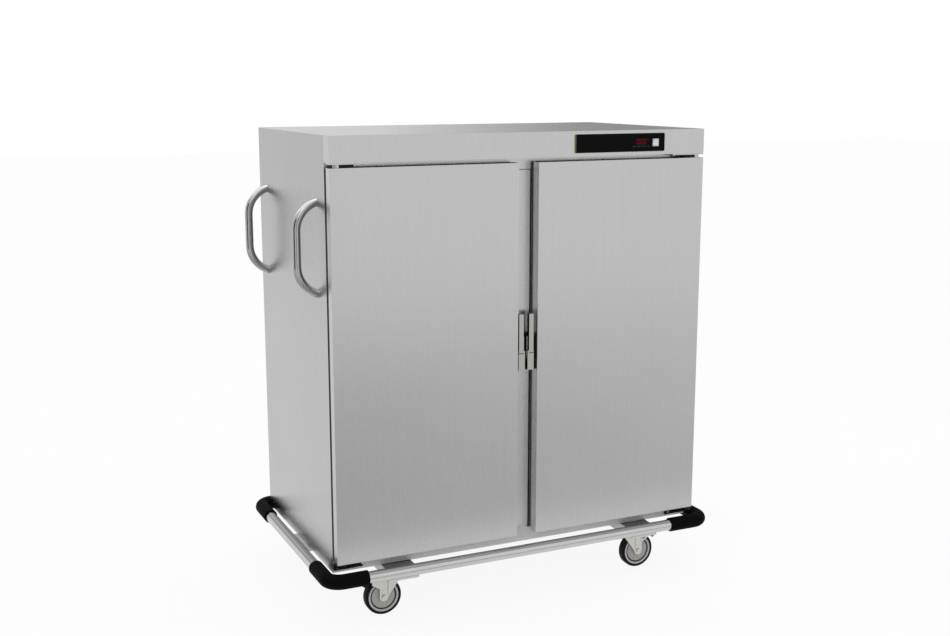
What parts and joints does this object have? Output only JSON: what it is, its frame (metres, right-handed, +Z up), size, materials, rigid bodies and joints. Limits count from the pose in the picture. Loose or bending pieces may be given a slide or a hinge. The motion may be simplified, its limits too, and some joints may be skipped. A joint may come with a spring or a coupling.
{
  "type": "heated banquet cart",
  "caption": "Insulated stainless steel cabinet on swivel casters, with hinged double doors, edge latches, push handles, a wrap-round bumper rail and heated wire shelves inside.",
  "frame": {"origin": "on the floor, at the middle of the whole cart's box", "axes": "+Z up, the doors face -Y, +X to the right as seen from the front"},
  "size_m": [1.68, 0.9862, 1.76],
  "materials": {
    "brushed_sheet": "fine vertical grain",
    "liner_sheet": "satin",
    "wool": "matte mineral wool",
    "shelf_wire": "polished",
    "zinc_steel": "zinc plated",
    "motor_steel": "satin",
    "element": "heat darkened",
    "black_plastic": "matte",
    "panel_face": "glossy",
    "display_pane": "dark red tint, glossy",
    "switch_plastic": "satin",
    "black_rubber": "matte",
    "hinge_steel": "satin",
    "tube_steel": "polished along the tube",
    "latch_metal": "satin plated",
    "wheel_metal": "painted grey",
    "tyre_rubber": "matte"
  },
  "bodies": {
    "cabinet": {"back_panel": "brushed_sheet", "base_panel": "brushed_sheet", "body_insulation": "wool", "bumper_rail": "tube_steel", "bumper_sleeves": "black_rubber", "caster_plates": "zinc_steel", "chassis_members": "hinge_steel", "control_fascia": "brushed_sheet", "control_panel": "panel_face", "controller_module": "black_plastic", "display_window": "display_pane", "fan_cover": "liner_sheet", "fan_motor": "motor_steel", "fasteners": "zinc_steel", "front_frame": "brushed_sheet", "heating_element": "element", "hinge_plates": "hinge_steel", "inner_liner": "liner_sheet", "latch_strikes": "latch_metal", "mullion_cover": "brushed_sheet", "power_inlet": "black_plastic", "push_handles": "tube_steel", "shelf_racks": "liner_sheet", "side_panel_left": "brushed_sheet", "side_panel_right": "brushed_sheet", "switch_housing": "switch_plastic", "top_panel": "brushed_sheet", "wire_shelves": "shelf_wire"},
    "door_left": {"door_skin_left": "brushed_sheet", "door_liner_left": "liner_sheet", "door_insulation_left": "wool", "door_gasket_left": "black_rubber", "latch_body_left": "latch_metal"},
    "door_right": {"door_skin_right": "brushed_sheet", "door_liner_right": "liner_sheet", "door_insulation_right": "wool", "door_gasket_right": "black_rubber", "latch_body_right": "latch_metal"},
    "lever_left": {"latch_lever_left": "latch_metal"},
    "lever_right": {"latch_lever_right": "latch_metal"},
    "fan": {"fan_impeller": "zinc_steel"},
    "rocker": {"switch_rocker": "switch_plastic"},
    "key_1": {"touch_key_1": "panel_face"},
    "key_2": {"touch_key_2": "panel_face"},
    "key_3": {"touch_key_3": "panel_face"},
    "key_4": {"touch_key_4": "panel_face"},
    "swivel_front_left": {"caster_fork_front_left": "zinc_steel"},
    "wheel_front_left": {"caster_wheel_front_left": "wheel_metal", "caster_tyre_front_left": "tyre_rubber"},
    "swivel_front_right": {"caster_fork_front_right": "zinc_steel"},
    "wheel_front_right": {"caster_wheel_front_right": "wheel_metal", "caster_tyre_front_right": "tyre_rubber"},
    "swivel_back_left": {"caster_fork_back_left": "zinc_steel"},
    "wheel_back_left": {"caster_wheel_back_left": "wheel_metal", "caster_tyre_back_left": "tyre_rubber"},
    "swivel_back_right": {"caster_fork_back_right": "zinc_steel"},
    "wheel_back_right": {"caster_wheel_back_right": "wheel_metal", "caster_tyre_back_right": "tyre_rubber"},
    "pedal_front_left": {"brake_pedal_front_left": "black_plastic"},
    "pedal_front_right": {"brake_pedal_front_right": "black_plastic"}
  },
  "joints": [
    {"name": "door_left_hinge", "type": "hinge", "parent": "cabinet", "child": "door_left", "pos_m": [-0.722, -0.423, 0.95], "axis": [0, 0, -1], "range_deg": [0, 180]},
    {"name": "door_right_hinge", "type": "hinge", "parent": "cabinet", "child": "door_right", "pos_m": [0.722, -0.423, 0.95], "axis": [0, 0, 1], "range_deg": [0, 180]},
    {"name": "latch_lever_left_pull", "type": "hinge", "parent": "door_left", "child": "lever_left", "pos_m": [-0.021, -0.419, 0.9545], "axis": [1, 0, 0], "range_deg": [0, 35], "stiffness_Nm_per_rad": 0.4, "springref_deg": -17.19},
    {"name": "latch_lever_right_pull", "type": "hinge", "parent": "door_right", "child": "lever_right", "pos_m": [0.021, -0.419, 0.9545], "axis": [1, 0, 0], "range_deg": [0, 35], "stiffness_Nm_per_rad": 0.4, "springref_deg": -17.19},
    {"name": "fan_spin", "type": "hinge", "parent": "cabinet", "child": "fan", "pos_m": [0, -0.00675, 1.59], "axis": [0, 0, 1], "continuous": true},
    {"name": "switch_rock", "type": "hinge", "parent": "cabinet", "child": "rocker", "pos_m": [0.53, -0.436, 1.713], "axis": [-1, 0, 0], "range_deg": [0, 20]},
    {"name": "key_1_press", "type": "slide", "parent": "cabinet", "child": "key_1", "axis": [0, 1, 0], "range_m": [0, 0.0006], "stiffness_N_per_m": 400, "springref_m": -0.0005},
    {"name": "key_2_press", "type": "slide", "parent": "cabinet", "child": "key_2", "axis": [0, 1, 0], "range_m": [0, 0.0006], "stiffness_N_per_m": 400, "springref_m": -0.0005},
    {"name": "key_3_press", "type": "slide", "parent": "cabinet", "child": "key_3", "axis": [0, 1, 0], "range_m": [0, 0.0006], "stiffness_N_per_m": 400, "springref_m": -0.0005},
    {"name": "key_4_press", "type": "slide", "parent": "cabinet", "child": "key_4", "axis": [0, 1, 0], "range_m": [0, 0.0006], "stiffness_N_per_m": 400, "springref_m": -0.0005},
    {"name": "swivel_front_left_turn", "type": "hinge", "parent": "cabinet", "child": "swivel_front_left", "pos_m": [-0.508, -0.34, 0.156], "axis": [0, 0, 1], "continuous": true},
    {"name": "wheel_front_left_roll", "type": "hinge", "parent": "swivel_front_left", "child": "wheel_front_left", "pos_m": [-0.549, -0.34, 0.07], "axis": [0, 1, 0], "continuous": true},
    {"name": "swivel_front_right_turn", "type": "hinge", "parent": "cabinet", "child": "swivel_front_right", "pos_m": [0.508, -0.34, 0.156], "axis": [0, 0, 1], "continuous": true},
    {"name": "wheel_front_right_roll", "type": "hinge", "parent": "swivel_front_right", "child": "wheel_front_right", "pos_m": [0.549, -0.34, 0.07], "axis": [0, 1, 0], "continuous": true},
    {"name": "swivel_back_left_turn", "type": "hinge", "parent": "cabinet", "child": "swivel_back_left", "pos_m": [-0.508, 0.34, 0.156], "axis": [0, 0, 1], "continuous": true},
    {"name": "wheel_back_left_roll", "type": "hinge", "parent": "swivel_back_left", "child": "wheel_back_left", "pos_m": [-0.549, 0.34, 0.07], "axis": [0, 1, 0], "continuous": true},
    {"name": "swivel_back_right_turn", "type": "hinge", "parent": "cabinet", "child": "swivel_back_right", "pos_m": [0.508, 0.34, 0.156], "axis": [0, 0, 1], "continuous": true},
    {"name": "wheel_back_right_roll", "type": "hinge", "parent": "swivel_back_right", "child": "wheel_back_right", "pos_m": [0.549, 0.34, 0.07], "axis": [0, 1, 0], "continuous": true},
    {"name": "brake_front_left_press", "type": "hinge", "parent": "swivel_front_left", "child": "pedal_front_left", "pos_m": [-0.58, -0.34, 0.143], "axis": [0, -1, 0], "range_deg": [0, 10]},
    {"name": "brake_front_right_press", "type": "hinge", "parent": "swivel_front_right", "child": "pedal_front_right", "pos_m": [0.58, -0.34, 0.143], "axis": [0, 1, 0], "range_deg": [0, 10]}
  ]
}
